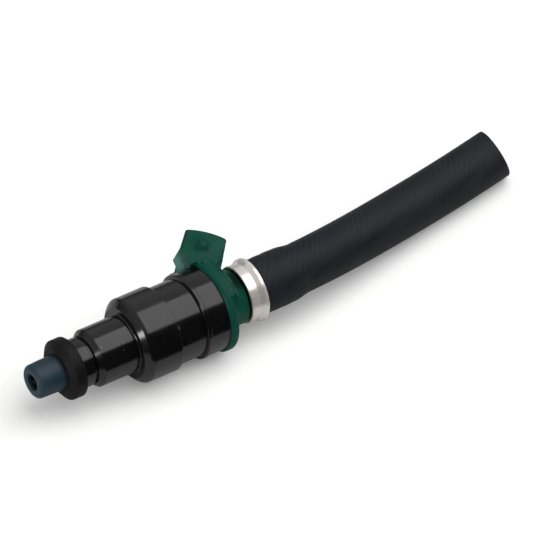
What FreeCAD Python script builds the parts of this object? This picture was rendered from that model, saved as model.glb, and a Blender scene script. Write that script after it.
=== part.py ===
import FreeCAD, Part
import Sketcher
import math
import os
import re

# Fuel injector with a hose tail, in millimetres.
# X runs along the injector from the nozzle to the hose and Z is up.
# The origin is on the axis, at the back edge of the nozzle seal.
# The stations in the sheet are distances from the nozzle tip.

doc = FreeCAD.newDocument("fuel_injector")
sheet = doc.addObject("Spreadsheet::Sheet", "Sizes")

sizes = [
    ("tip_reach", 12.8, "nozzle tip to the origin"),
    ("cap_radius", 4.93, "pintle cap, outside"),
    ("cap_hole_radius", 2.3, "spray hole"),
    ("cap_wall", 1.6, "front wall of the cap"),
    ("cap_end", 9.0, "back of the cap"),
    ("cap_round", 1.5, "rounded front edge of the cap"),
    ("nozzle_tip_radius", 3.3, "nozzle body inside the cap"),
    ("nozzle_front", 2.4, "front of the nozzle body"),
    ("seal_front", 8.2, "front face of the nozzle seal"),
    ("seal_band", 9.65, "where the seal reaches its full size"),
    ("seal_face_radius", 6.5, "front face of the seal"),
    ("seal_radius", 8.5, "seal, outside"),
    ("seal_bore_radius", 4.95, "seal, inside"),
    ("neck_radius", 6.87, "collar behind the seal"),
    ("neck_end", 16.3, "back of the collar"),
    ("groove_radius", 6.2, "groove behind the collar"),
    ("housing_front", 17.2, "front of the valve housing"),
    ("lead_in_end", 18.6, "end of the housing's lead-in"),
    ("barrel_radius", 8.12, "front barrel of the housing"),
    ("shoulder", 29.6, "flat face of the shoulder"),
    ("shoulder_radius", 10.0, "edge of that face"),
    ("bevel_radius", 11.4, "outer edge of the bevel"),
    ("bevel_end", 30.8, "end of the bevel"),
    ("body_start", 31.6, "where the body is full size"),
    ("body_radius", 12.0, "largest part of the housing"),
    ("body_end", 40.55, "end of the largest part"),
    ("waist_radius", 11.0, "recessed band"),
    ("waist_end", 48.6, "end of the recessed band"),
    ("collar_lip_radius", 11.97, "front lip of the rear collar"),
    ("collar_lip_end", 49.9, "end of that lip"),
    ("collar_radius", 11.77, "rear collar"),
    ("collar_end", 55.8, "back of the rear collar"),
    ("guide_bore_radius", 6.15, "housing bore for the nozzle body"),
    ("armature_bore_radius", 5.5, "housing bore round the armature"),
    ("coil_bore_radius", 9.8, "housing bore for the coil"),
    ("guide_end", 23.9, "end of the nozzle body's bore"),
    ("coil_floor", 31.1, "floor of the coil's bore"),
    ("nozzle_end", 22.0, "back of the nozzle body"),
    ("needle_bore_radius", 1.65, "needle guide in the nozzle body"),
    ("needle_radius", 1.6, "guide lands of the needle"),
    ("needle_waist_radius", 1.2, "needle between its lands"),
    ("orifice_radius", 0.62, "metering hole"),
    ("pintle_radius", 0.45, "pin in the metering hole"),
    ("seat_front", 3.4, "front end of the needle seat"),
    ("seat_back", 4.6, "back end of the needle seat"),
    ("needle_end", 29.4, "back of the needle"),
    ("collar_front", 20.7, "front of the needle's stop collar"),
    ("needle_lift", 0.15, "travel of the needle"),
    ("collar_pocket_radius", 3.2, "recess for the stop collar"),
    ("needle_collar_radius", 2.9, "stop collar on the needle"),
    ("stop_slot_radius", 2.0, "slot in the stop plate"),
    ("stop_plate_radius", 5.9, "stop plate, outside"),
    ("stop_plate_end", 23.2, "back of the stop plate"),
    ("spacer_bore_radius", 4.2, "spacer ring, inside"),
    ("armature_front", 26.2, "front of the armature"),
    ("armature_end", 35.9, "back of the armature"),
    ("armature_radius", 5.2, "armature, outside"),
    ("spring_pocket_radius", 2.1, "spring pocket in the armature"),
    ("spring_seat", 31.0, "floor of the spring pocket"),
    ("spring_radius", 1.65, "spring, middle of its wire"),
    ("spring_wire", 0.25, "radius of the spring's wire"),
    ("spring_turns", 8, "turns of the spring"),
    ("sleeve_front", 43.0, "front of the adjusting sleeve"),
    ("sleeve_end", 51.0, "back of the adjusting sleeve"),
    ("sleeve_bore_radius", 1.1, "adjusting sleeve, inside"),
    ("core_radius", 4.1, "inlet tube inside the coil"),
    ("core_front", 36.15, "front face of the inlet tube"),
    ("core_bore_radius", 2.1, "inlet tube, inside"),
    ("bobbin_front", 32.7, "front of the bobbin"),
    ("bobbin_end", 50.0, "back of the bobbin"),
    ("bobbin_bore_radius", 5.5, "bobbin, inside"),
    ("bobbin_hub_radius", 6.2, "bobbin under the winding"),
    ("bobbin_flange_radius", 9.6, "bobbin cheeks"),
    ("bobbin_cheek", 1.2, "thickness of a cheek"),
    ("winding_radius", 9.2, "winding, outside"),
    ("plate_front", 50.2, "front of the flux plate"),
    ("plate_end", 52.4, "back of the flux plate"),
    ("plate_radius", 10.4, "flux plate, outside"),
    ("ring_wire", 0.8, "radius of an O-ring's section"),
    ("upper_ring_radius", 4.9, "rear O-ring, middle of its section"),
    ("lower_ring_radius", 6.6, "front O-ring, middle of its section"),
    ("flange_front", 56.0, "front of the moulding's flange"),
    ("flange_end", 58.3, "back of the moulding's flange"),
    ("flange_radius", 12.55, "moulding's flange"),
    ("flange_round", 0.9, "rounded back edge of the flange"),
    ("moulding_plug_radius", 10.4, "moulding inside the rear collar"),
    ("moulding_neck_radius", 7.53, "moulding's neck"),
    ("moulding_end", 64.5, "back of the moulding"),
    ("ferrule_front", 65.2, "front of the hose ferrule"),
    ("ferrule_radius", 8.05, "hose ferrule"),
    ("ferrule_flare", 67.9, "where the ferrule starts to flare"),
    ("ferrule_rim", 69.2, "front of the ferrule's rim"),
    ("ferrule_end", 70.1, "back of the ferrule"),
    ("ferrule_rim_radius", 8.8, "ferrule's rim"),
    ("ferrule_wall", 0.7, "ferrule's wall"),
    ("barb_tube_radius", 3.9, "inlet tube in the hose"),
    ("barb_radius", 4.5, "crest of a barb"),
    ("barb_length", 3.2, "length of a barb"),
    ("barb_count", 3, "number of barbs"),
    ("inlet_end", 79.6, "end of the inlet tube"),
    ("strainer_front", 69.4, "front of the strainer"),
    ("strainer_radius", 2.08, "strainer, outside"),
    ("strainer_wall", 0.6, "strainer's wall"),
    ("hose_front", 66.0, "hose end inside the ferrule"),
    ("hose_radius", 6.95, "hose, outside"),
    ("hose_bore_radius", 3.75, "hose, inside"),
    ("hose_swell_radius", 7.7, "hose stretched over the barbs"),
    ("hose_inner_end_radius", 7.3, "hose inside the ferrule"),
    ("swell_end", 80.0, "end of the full swelling"),
    ("swell_fade", 85.0, "where the swelling has gone"),
    ("connector_root", 49.1, "where the connector's axis meets the injector's axis"),
    ("connector_lean", 75.5, "connector turned round the injector, degrees from up"),
    ("connector_tilt", 43.6, "connector leaning back to the hose, degrees"),
    ("mouth_reach", 20.4, "corners of the connector's mouth, along its axis"),
    ("mouth_rise", 0.8, "how far the curved rim stands beyond its corners"),
    ("shroud_width", 21.0, "connector across the injector"),
    ("shroud_thickness", 11.2, "connector along the injector, at its mouth"),
    ("root_thickness", 12.2, "connector along the injector, at its root"),
    ("shroud_round", 0.8, "rounded corners of the shroud"),
    ("shroud_wall", 1.3, "wall of the shroud"),
    ("socket_depth", 8.6, "depth of the socket"),
    ("root_front", 54.4, "front face of the connector's root"),
    ("root_inner_radius", 11.85, "connector's root over the rear collar"),
    ("root_foot", 8.3, "lower end of the root's front corners, from the axis"),
    ("web_depth", 3.0, "webs in front of the connector, along the injector"),
    ("web_edge", 14.1, "outer ends of the webs, from the axis"),
    ("web_peak", 15.75, "highest point of a web, from the axis"),
    ("web_peak_side", 3.15, "highest point of a web, from the middle"),
    ("web_gap", 1.25, "half of the gap between the webs"),
    ("web_dip", 12.4, "floor of that gap, from the axis"),
    ("root_reach", 9.4, "where the root meets the shroud, along the connector's axis"),
    ("nub_width", 3.1, "locking nub, along the injector"),
    ("nub_length", 1.8, "locking nub, along the connector"),
    ("nub_height", 1.4, "locking nub, proud of the shroud's end"),
    ("nub_from_mouth", 3.5, "locking nub, from the mouth"),
    ("blade_width", 2.8, "terminal blade, along the injector"),
    ("blade_thickness", 0.8, "terminal blade"),
    ("blade_spacing", 5.0, "distance between the blades"),
    ("blade_set_back", 1.2, "blade's end, behind the mouth"),
    ("blade_foot", 8.4, "blade's foot, along the connector's axis"),
    ("saddle_radius", 11.9, "raised band beside the connector"),
    ("saddle_end", 60.1, "back of the raised band"),
    ("saddle_foot", 62.4, "foot of the band's sloping back"),
    ("saddle_low_turn", -48, "end of the raised band, degrees from up"),
    ("saddle_sweep", 170, "degrees that the raised band covers"),
    ("pad_radius", 12.25, "blank label pad"),
    ("pad_middle", 58.5, "middle of the pad, along the injector"),
    ("pad_width", 2.7, "width of the pad"),
    ("pad_low_turn", -38, "lower end of the pad, degrees from up"),
    ("pad_sweep", 58, "degrees between the pad's ends"),
    ("pocket_width", 2.0, "moulding pockets behind the pad"),
    ("pocket_floor", 8.3, "floor of the pockets, from the axis"),
]

for row, (alias, value, note) in enumerate(sizes, start=1):
    sheet.set("A%d" % row, note)
    sheet.set("B%d" % row, str(value))
    sheet.setAlias("B%d" % row, alias)
doc.recompute()

parts = []


def mm(alias):
    return float(sheet.get(alias))


def bound(formula):
    return re.sub(r"[a-z_]+", r"Sizes.\g<0>", formula)


def finish(item, label):
    item.Label = label
    parts.append(item)
    return item


def on_axis(item):
    item.setExpression(".Placement.Base.x", bound("-tip_reach"))
    return item


def origin_plane(body, role):
    return [f for f in body.Origin.OriginFeatures if f.Role == role][0]


def outline(body, name, corners, plane="XZ_Plane"):
    """A closed outline; each corner is a pair of formulas over the sheet."""
    sketch = body.newObject("Sketcher::SketchObject", name)
    sketch.AttachmentSupport = [(origin_plane(body, plane), "")]
    sketch.MapMode = "FlatFace"
    count = len(corners)
    start = []
    for i in range(count):
        turn = 2 * math.pi * i / count
        start.append(FreeCAD.Vector(30 + 20 * math.cos(turn), 30 + 20 * math.sin(turn), 0))
    for i in range(count):
        sketch.addGeometry(Part.LineSegment(start[i], start[(i + 1) % count]))
    for i in range(count):
        sketch.addConstraint(Sketcher.Constraint("Coincident", i, 2, (i + 1) % count, 1))
    for i, corner in enumerate(corners):
        for way, axis, formula, value in (
            ("DistanceX", -2, corner[0], start[i].x),
            ("DistanceY", -1, corner[1], start[i].y),
        ):
            if formula == "0":
                sketch.addConstraint(Sketcher.Constraint("PointOnObject", i, 1, axis))
            else:
                number = sketch.addConstraint(Sketcher.Constraint(way, -1, 1, i, 1, value))
                sketch.setExpression("Constraints[%d]" % number, bound(formula))
    return sketch


def turned(label, corners):
    """A body turned about the injector's axis from (station, radius) corners."""
    body = on_axis(doc.addObject("PartDesign::Body", label + "_body"))
    sketch = outline(body, label + "_outline", corners)
    revolution = body.newObject("PartDesign::Revolution", label + "_turned")
    revolution.Profile = sketch
    revolution.ReferenceAxis = (sketch, ["H_Axis"])
    revolution.Angle = 360
    body.Tip = revolution
    doc.recompute()
    return body


def circles(feature, station, radius):
    """Names of the circular edges of that radius at that station."""
    names = []
    for number, edge in enumerate(feature.Shape.Edges, start=1):
        if not isinstance(edge.Curve, Part.Circle):
            continue
        centre = feature.Placement.inverse().multVec(edge.Curve.Center)
        if abs(edge.Curve.Radius - radius) < 0.01 and abs(centre.x - station) < 0.01:
            names.append("Edge%d" % number)
    return names


def rounded(body, station, radius, formula, kind="Fillet"):
    """Rounds or bevels the circular edge at that station and radius."""
    base = body.Tip
    feature = body.newObject("PartDesign::" + kind, body.Name + "_" + kind.lower())
    feature.Base = (base, circles(base, station, radius))
    feature.setExpression("Radius" if kind == "Fillet" else "Size", bound(formula))
    body.Tip = feature
    doc.recompute()
    return body


def ring(label, station, radius):
    torus = on_axis(doc.addObject("Part::Torus", label))
    torus.setExpression("Radius1", bound(radius))
    torus.setExpression("Radius2", bound("ring_wire"))
    torus.Placement.Rotation = FreeCAD.Rotation(FreeCAD.Vector(0, 1, 0), 90)
    torus.setExpression(".Placement.Base.x", bound(station + " - tip_reach"))
    return finish(torus, label)


def joined(kind, name, pieces):
    feature = doc.addObject(kind, name)
    if kind.startswith("Part::Multi"):
        feature.Shapes = pieces
    else:
        feature.Base, feature.Tool = pieces
    doc.recompute()
    return feature


# Nozzle end

cap = turned("pintle_cap", [
    ("0", "cap_hole_radius"),
    ("0", "cap_radius"),
    ("cap_end", "cap_radius"),
    ("cap_end", "nozzle_tip_radius"),
    ("cap_wall", "nozzle_tip_radius"),
    ("cap_wall", "cap_hole_radius"),
])
finish(rounded(cap, 0, mm("cap_radius"), "cap_round"), "pintle_cap")

finish(turned("nozzle_seal", [
    ("seal_front", "seal_bore_radius"),
    ("seal_front", "seal_face_radius"),
    ("seal_band", "seal_radius"),
    ("tip_reach", "seal_radius"),
    ("tip_reach", "seal_bore_radius"),
]), "nozzle_seal")

finish(turned("nozzle_body", [
    ("nozzle_front", "orifice_radius"),
    ("nozzle_front", "nozzle_tip_radius"),
    ("cap_end", "nozzle_tip_radius"),
    ("cap_end", "cap_radius"),
    ("tip_reach", "cap_radius"),
    ("tip_reach", "neck_radius"),
    ("neck_end", "neck_radius"),
    ("neck_end", "groove_radius"),
    ("housing_front", "groove_radius"),
    ("housing_front", "guide_bore_radius"),
    ("nozzle_end", "guide_bore_radius"),
    ("nozzle_end", "collar_pocket_radius"),
    ("collar_front - 0.3", "collar_pocket_radius"),
    ("collar_front - 0.3", "needle_bore_radius"),
    ("seat_back", "needle_bore_radius"),
    ("seat_front", "orifice_radius"),
]), "nozzle_body")

# The needle and the armature lift together.

finish(turned("needle", [
    ("seat_front - 2.6", "0"),
    ("seat_front - 2.6", "pintle_radius"),
    ("seat_front", "pintle_radius"),
    ("seat_front", "orifice_radius - 0.04"),
    ("seat_back", "needle_radius"),
    ("seat_back + 3", "needle_radius"),
    ("seat_back + 3", "needle_waist_radius"),
    ("collar_front - 4", "needle_waist_radius"),
    ("collar_front - 4", "needle_radius"),
    ("collar_front - 0.5", "needle_radius"),
    ("collar_front - 0.5", "needle_waist_radius"),
    ("collar_front", "needle_waist_radius"),
    ("collar_front", "needle_collar_radius"),
    ("nozzle_end - needle_lift", "needle_collar_radius"),
    ("nozzle_end - needle_lift", "needle_waist_radius"),
    ("stop_plate_end + 1", "needle_waist_radius"),
    ("stop_plate_end + 1", "needle_radius"),
    ("needle_end", "needle_radius"),
    ("needle_end", "0"),
]), "needle")

finish(turned("armature", [
    ("armature_front", "needle_radius"),
    ("armature_front", "armature_radius - 0.6"),
    ("armature_front + 0.6", "armature_radius"),
    ("armature_end", "armature_radius"),
    ("armature_end", "spring_pocket_radius"),
    ("spring_seat", "spring_pocket_radius"),
    ("spring_seat", "0"),
    ("needle_end", "0"),
    ("needle_end", "needle_radius"),
]), "armature")

# Stop plate with an open slot, and the spacer ring behind it

plate = turned("stop_plate", [
    ("nozzle_end", "stop_slot_radius"),
    ("nozzle_end", "stop_plate_radius"),
    ("stop_plate_end", "stop_plate_radius"),
    ("stop_plate_end", "stop_slot_radius"),
])
slot = doc.addObject("Part::Box", "stop_plate_slot")
slot.setExpression("Length", bound("stop_plate_end - nozzle_end + 2"))
slot.setExpression("Width", bound("stop_slot_radius * 2"))
slot.setExpression("Height", bound("stop_plate_radius + 2"))
slot.setExpression(".Placement.Base.x", bound("nozzle_end - tip_reach - 1"))
slot.setExpression(".Placement.Base.y", bound("-stop_slot_radius"))
doc.recompute()
finish(joined("Part::Cut", "stop_plate_cut", [plate, slot]), "stop_plate")

finish(turned("spacer_ring", [
    ("stop_plate_end", "spacer_bore_radius"),
    ("stop_plate_end", "stop_plate_radius"),
    ("guide_end", "stop_plate_radius"),
    ("guide_end", "spacer_bore_radius"),
]), "spacer_ring")

# Housing

housing = turned("valve_housing", [
    ("housing_front", "guide_bore_radius"),
    ("housing_front", "neck_radius"),
    ("lead_in_end", "barrel_radius"),
    ("shoulder", "barrel_radius"),
    ("shoulder", "shoulder_radius"),
    ("bevel_end", "bevel_radius"),
    ("body_start", "body_radius"),
    ("body_end", "body_radius"),
    ("body_end", "waist_radius"),
    ("waist_end", "waist_radius"),
    ("waist_end", "coil_bore_radius"),
    ("coil_floor", "coil_bore_radius"),
    ("coil_floor", "armature_bore_radius"),
    ("guide_end", "armature_bore_radius"),
    ("guide_end", "guide_bore_radius"),
])
finish(housing, "valve_housing")

finish(turned("rear_collar", [
    ("waist_end", "plate_radius"),
    ("waist_end", "waist_radius"),
    ("waist_end + 0.35", "collar_lip_radius"),
    ("collar_lip_end", "collar_lip_radius"),
    ("collar_lip_end + 0.15", "collar_radius"),
    ("collar_end - 0.2", "collar_radius"),
    ("collar_end", "collar_radius - 0.2"),
    ("collar_end", "moulding_plug_radius"),
    ("plate_end", "moulding_plug_radius"),
    ("plate_end", "plate_radius"),
]), "rear_collar")

# Coil

finish(turned("coil_bobbin", [
    ("bobbin_front", "bobbin_bore_radius"),
    ("bobbin_front", "bobbin_flange_radius"),
    ("bobbin_front + bobbin_cheek", "bobbin_flange_radius"),
    ("bobbin_front + bobbin_cheek", "bobbin_hub_radius"),
    ("bobbin_end - bobbin_cheek", "bobbin_hub_radius"),
    ("bobbin_end - bobbin_cheek", "bobbin_flange_radius"),
    ("bobbin_end", "bobbin_flange_radius"),
    ("bobbin_end", "core_radius"),
    ("bobbin_end - 12", "core_radius"),
    ("bobbin_end - 12", "bobbin_bore_radius"),
]), "coil_bobbin")

finish(turned("coil_winding", [
    ("bobbin_front + bobbin_cheek", "bobbin_hub_radius"),
    ("bobbin_front + bobbin_cheek", "winding_radius"),
    ("bobbin_end - bobbin_cheek", "winding_radius"),
    ("bobbin_end - bobbin_cheek", "bobbin_hub_radius"),
]), "coil_winding")

finish(turned("flux_plate", [
    ("plate_front", "core_radius"),
    ("plate_front", "coil_bore_radius - 0.1"),
    ("plate_end", "coil_bore_radius - 0.1"),
    ("plate_end", "core_radius"),
]), "flux_plate")

# Inlet tube, with the barbs that hold the hose

barbs = []
for number in range(int(mm("barb_count"))):
    start = "inlet_end - 0.8 - barb_length * %d" % (number + 1)
    barbs = [
        (start, "barb_tube_radius"),
        (start, "barb_radius"),
        (start + " + 1", "barb_radius"),
        (start + " + barb_length - 0.01", "barb_tube_radius"),
    ] + barbs
finish(turned("inlet_tube", [
    ("core_front", "core_bore_radius"),
    ("core_front", "core_radius"),
    ("flange_end", "core_radius"),
    ("flange_end", "barb_tube_radius"),
] + barbs + [
    ("inlet_end", "barb_tube_radius"),
    ("inlet_end", "core_bore_radius"),
]), "inlet_tube")

finish(turned("adjusting_sleeve", [
    ("sleeve_front", "sleeve_bore_radius"),
    ("sleeve_front", "core_bore_radius"),
    ("sleeve_end", "core_bore_radius"),
    ("sleeve_end", "sleeve_bore_radius"),
]), "adjusting_sleeve")

finish(turned("inlet_strainer", [
    ("strainer_front", "0"),
    ("strainer_front", "strainer_radius - 1"),
    ("inlet_end - 2", "strainer_radius - 0.4"),
    ("inlet_end - 2", "strainer_radius"),
    ("inlet_end - 0.2", "strainer_radius"),
    ("inlet_end - 0.2", "strainer_radius - strainer_wall"),
    ("inlet_end - 2", "strainer_radius - strainer_wall - 0.4"),
    ("strainer_front + strainer_wall", "strainer_radius - strainer_wall - 1"),
    ("strainer_front + strainer_wall", "0"),
]), "inlet_strainer")

ring("upper_o_ring", "plate_end + ring_wire", "upper_ring_radius")
ring("lower_o_ring", "bobbin_front - ring_wire", "lower_ring_radius")

# Return spring: a round wire wound on a helix

wire = mm("spring_wire")
spring_low = mm("spring_seat") + wire
spring_high = mm("sleeve_front") - wire
pitch = (spring_high - spring_low) / mm("spring_turns")
helix = Part.makeHelix(pitch, spring_high - spring_low, mm("spring_radius"))
section = Part.Wire(Part.makeCircle(wire, FreeCAD.Vector(mm("spring_radius"), 0, 0), FreeCAD.Vector(0, 1, 0)))
spring = doc.addObject("Part::Feature", "return_spring_wire")
spring.Shape = Part.Wire(helix).makePipeShell([section], True, True)
spring.Placement = FreeCAD.Placement(
    FreeCAD.Vector(spring_low - mm("tip_reach"), 0, 0),
    FreeCAD.Rotation(FreeCAD.Vector(0, 1, 0), 90),
)
finish(spring, "return_spring")

# Connector moulding: the flange and neck are turned, the connector stands on them.

core = turned("moulding_core", [
    ("plate_end", "upper_ring_radius + ring_wire"),
    ("plate_end", "moulding_plug_radius"),
    ("flange_front", "moulding_plug_radius"),
    ("flange_front", "flange_radius"),
    ("flange_end", "flange_radius"),
    ("flange_end", "moulding_neck_radius"),
    ("moulding_end", "moulding_neck_radius"),
    ("moulding_end", "barb_tube_radius"),
    ("flange_end", "barb_tube_radius"),
    ("flange_end", "core_radius"),
    ("plate_end + 2 * ring_wire", "core_radius"),
    ("plate_end + 2 * ring_wire", "upper_ring_radius + ring_wire"),
])
core = rounded(core, mm("flange_end"), mm("flange_radius"), "flange_round")

root = FreeCAD.Vector(mm("connector_root") - mm("tip_reach"), 0, 0)
lean = FreeCAD.Rotation(FreeCAD.Vector(1, 0, 0), -mm("connector_lean"))
tilt = FreeCAD.Rotation(FreeCAD.Vector(0, 1, 0), mm("connector_tilt"))
along_connector = FreeCAD.Placement(root, lean.multiply(tilt))


def upright(name, width, thickness, low, high, corner, shift="0"):
    """A block with rounded corners, standing along the connector's axis."""
    body = doc.addObject("PartDesign::Body", name)
    half_t = "(" + thickness + ") / 2"
    half_w = "(" + width + ") / 2"
    sketch = outline(body, name + "_outline", [
        (shift + " - " + half_t, "-" + half_w),
        (shift + " + " + half_t, "-" + half_w),
        (shift + " + " + half_t, half_w),
        (shift + " - " + half_t, half_w),
    ], "XY_Plane")
    sketch.setExpression(".AttachmentOffset.Base.z", bound(low))
    pad = body.newObject("PartDesign::Pad", name + "_pad")
    pad.Profile = sketch
    pad.setExpression("Length", bound("(" + high + ") - (" + low + ")"))
    body.Tip = pad
    body.Placement = along_connector
    doc.recompute()
    if corner:
        tall = []
        for number, edge in enumerate(pad.Shape.Edges, start=1):
            if abs(edge.Length - pad.Length.Value) < 0.001 and abs(edge.tangentAt(0).z) > 0.999:
                tall.append("Edge%d" % number)
        fillet = body.newObject("PartDesign::Fillet", name + "_corners")
        fillet.Base = (pad, tall)
        fillet.setExpression("Radius", bound(corner))
        body.Tip = fillet
        doc.recompute()
    return body


# Connector: its side outline is drawn along its axis and its thickness, and padded across.

shell_body = doc.addObject("PartDesign::Body", "connector_shell")
half_mouth = "shroud_thickness / 2"
half_root = "root_thickness / 2"
shell_sketch = outline(shell_body, "connector_side", [
    ("-" + half_mouth, "mouth_reach + mouth_rise"),
    ("-" + half_root, "root_reach"),
    ("-" + half_root, "0"),
    (half_root, "0"),
    (half_root, "root_reach"),
    (half_mouth, "mouth_reach + mouth_rise"),
])
shell = shell_body.newObject("PartDesign::Pad", "connector_pad")
shell.Profile = shell_sketch
shell.setExpression("Length", bound("shroud_width"))
shell.Midplane = True
shell_body.Tip = shell
shell_body.Placement = along_connector
doc.recompute()
corners = []
for number, edge in enumerate(shell.Shape.Edges, start=1):
    top = edge.BoundBox.ZMax > mm("mouth_reach")
    if top and edge.BoundBox.ZLength > 5:
        corners.append("Edge%d" % number)
shell_round = shell_body.newObject("PartDesign::Fillet", "connector_corners")
shell_round.Base = (shell, corners)
shell_round.setExpression("Radius", bound("shroud_round"))
shell_body.Tip = shell_round
doc.recompute()

# The mouth's rim is part of a cylinder that lies across the connector
rim_bow = doc.addObject("Part::Cylinder", "rim_bow")
bow_radius = "(shroud_thickness ^ 2 / 8 / mouth_rise + mouth_rise / 2)"
rim_bow.setExpression("Radius", bound(bow_radius))
rim_bow.setExpression("Height", bound("shroud_width * 2"))
doc.recompute()
rim_bow.Placement = along_connector.multiply(FreeCAD.Placement(
    FreeCAD.Vector(0, rim_bow.Height.Value / 2, mm("mouth_reach") + mm("mouth_rise") - rim_bow.Radius.Value),
    FreeCAD.Rotation(FreeCAD.Vector(1, 0, 0), 90)))
bowed_shell = joined("Part::MultiCommon", "bowed_shell", [shell_body, rim_bow])

socket_block = upright(
    "socket_block", "shroud_width - 2 * shroud_wall", "shroud_thickness - 2 * shroud_wall",
    "mouth_reach - socket_depth", "mouth_reach + 5", "shroud_round")
front_wall = doc.addObject("Part::Box", "socket_front_wall")
front_wall.setExpression("Length", bound("shroud_width"))
front_wall.setExpression("Width", bound("shroud_width * 2"))
front_wall.setExpression("Height", bound("shroud_width * 2"))
doc.recompute()
front_wall.Placement.Base = FreeCAD.Vector(
    mm("root_front") + mm("shroud_wall") - mm("tip_reach") - front_wall.Length.Value,
    -front_wall.Width.Value / 2, -front_wall.Height.Value / 2)
socket = joined("Part::Cut", "socket", [socket_block, front_wall])

# Two webs brace the connector's front face, with a gap between them
webs = doc.addObject("PartDesign::Body", "webs")
web_sketch = outline(webs, "webs_outline", [
    ("-shroud_width / 2", "moulding_plug_radius"),
    ("shroud_width / 2", "moulding_plug_radius"),
    ("shroud_width / 2", "web_edge"),
    ("web_peak_side", "web_peak"),
    ("web_gap", "web_dip"),
    ("-web_gap", "web_dip"),
    ("-web_peak_side", "web_peak"),
    ("-shroud_width / 2", "web_edge"),
], "XY_Plane")
web_pad = webs.newObject("PartDesign::Pad", "webs_pad")
web_pad.Profile = web_sketch
web_pad.setExpression("Length", bound("web_depth"))
webs.Tip = web_pad
across_injector = lean.multiply(FreeCAD.Rotation(FreeCAD.Vector(1, 1, 1), 120))
webs.Placement = FreeCAD.Placement(
    FreeCAD.Vector(mm("root_front") - mm("tip_reach"), 0, 0), across_injector)
doc.recompute()


def nub(name, way):
    """A locking nub on one narrow end of the shroud."""
    block = doc.addObject("Part::Box", name)
    block.setExpression("Length", bound("nub_width"))
    block.setExpression("Width", bound("nub_height + 1"))
    block.setExpression("Height", bound("nub_length"))
    doc.recompute()
    block.Placement = along_connector.multiply(FreeCAD.Placement(FreeCAD.Vector(
        -mm("nub_width") / 2,
        way * (mm("shroud_width") + mm("nub_height") - 1) / 2 - (mm("nub_height") + 1) / 2,
        mm("mouth_reach") - mm("nub_from_mouth") - mm("nub_length")), FreeCAD.Rotation()))
    return block


def sector(body, low_turn, sweep):
    """Keeps only part of a turned body's circle, between two angles from up."""
    body.Tip.setExpression("Angle", bound(sweep))
    body.Placement.Rotation = FreeCAD.Rotation(
        FreeCAD.Vector(1, 0, 0), -(mm(low_turn) + mm(sweep)))
    doc.recompute()
    return body


saddle = sector(turned("saddle", [
    ("flange_end - 1", "moulding_neck_radius - 1"),
    ("flange_end - 1", "saddle_radius"),
    ("saddle_end", "saddle_radius"),
    ("saddle_foot", "pocket_floor"),
    ("saddle_foot", "moulding_neck_radius - 1"),
]), "saddle_low_turn", "saddle_sweep")
pad = sector(turned("label_pad", [
    ("pad_middle - pad_width / 2", "saddle_radius - 1"),
    ("pad_middle - pad_width / 2", "pad_radius"),
    ("pad_middle + pad_width / 2", "pad_radius"),
    ("pad_middle + pad_width / 2", "saddle_radius - 1"),
]), "pad_low_turn", "pad_sweep")


def spoke(kind, name, turn, station):
    """A primitive that stands out from the axis at that angle from up."""
    item = doc.addObject(kind, name)
    item.Placement = FreeCAD.Placement(
        FreeCAD.Vector(station - mm("tip_reach"), 0, 0),
        FreeCAD.Rotation(FreeCAD.Vector(1, 0, 0), -turn))
    return item


pad_ends = []
for name, turn in (("low", mm("pad_low_turn")), ("high", mm("pad_low_turn") + mm("pad_sweep"))):
    end = spoke("Part::Cylinder", "pad_end_" + name, turn, mm("pad_middle"))
    end.setExpression("Radius", bound("pad_width / 2"))
    end.setExpression("Height", bound("pad_radius"))
    pad_ends.append(end)

pockets = []
for number, turn in enumerate((10, -29)):
    pocket = spoke("Part::Box", "pocket_%d" % number, turn, mm("saddle_end"))
    pocket.setExpression("Length", bound("saddle_foot - saddle_end"))
    pocket.setExpression("Width", bound("pocket_width"))
    pocket.setExpression("Height", bound("saddle_radius"))
    shift = FreeCAD.Vector(0, -mm("pocket_width") / 2, mm("pocket_floor"))
    pocket.Placement = pocket.Placement.multiply(FreeCAD.Placement(shift, FreeCAD.Rotation()))
    pockets.append(pocket)
doc.recompute()

blank = joined("Part::MultiFuse", "moulding_blank", [
    core, bowed_shell, webs, saddle, pad, nub("nub_near", -1), nub("nub_far", 1)] + pad_ends)
relief = turned("ferrule_relief", [
    ("moulding_end", "0"),
    ("moulding_end", "ferrule_radius + 0.25"),
    ("ferrule_flare - 0.3", "ferrule_radius + 0.25"),
    ("ferrule_rim - 0.3", "ferrule_rim_radius + 0.3"),
    ("inlet_end + 10", "ferrule_rim_radius + 0.3"),
    ("inlet_end + 10", "0"),
])
front_relief = turned("front_relief", [
    ("housing_front", "0"),
    ("housing_front", "flange_radius * 3"),
    ("root_front", "flange_radius * 3"),
    ("root_front", "root_inner_radius"),
    ("flange_front", "root_inner_radius"),
    ("flange_front", "moulding_plug_radius"),
    ("plate_end", "moulding_plug_radius"),
    ("plate_end", "0"),
])
tube_way = turned("tube_way", [
    ("housing_front", "0"),
    ("housing_front", "core_radius"),
    ("flange_end", "core_radius"),
    ("flange_end", "barb_tube_radius"),
    ("inlet_end", "barb_tube_radius"),
    ("inlet_end", "0"),
])
ring_way = turned("ring_way", [
    ("plate_end", "0"),
    ("plate_end", "upper_ring_radius + ring_wire"),
    ("plate_end + 2 * ring_wire", "upper_ring_radius + ring_wire"),
    ("plate_end + 2 * ring_wire", "0"),
])

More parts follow.
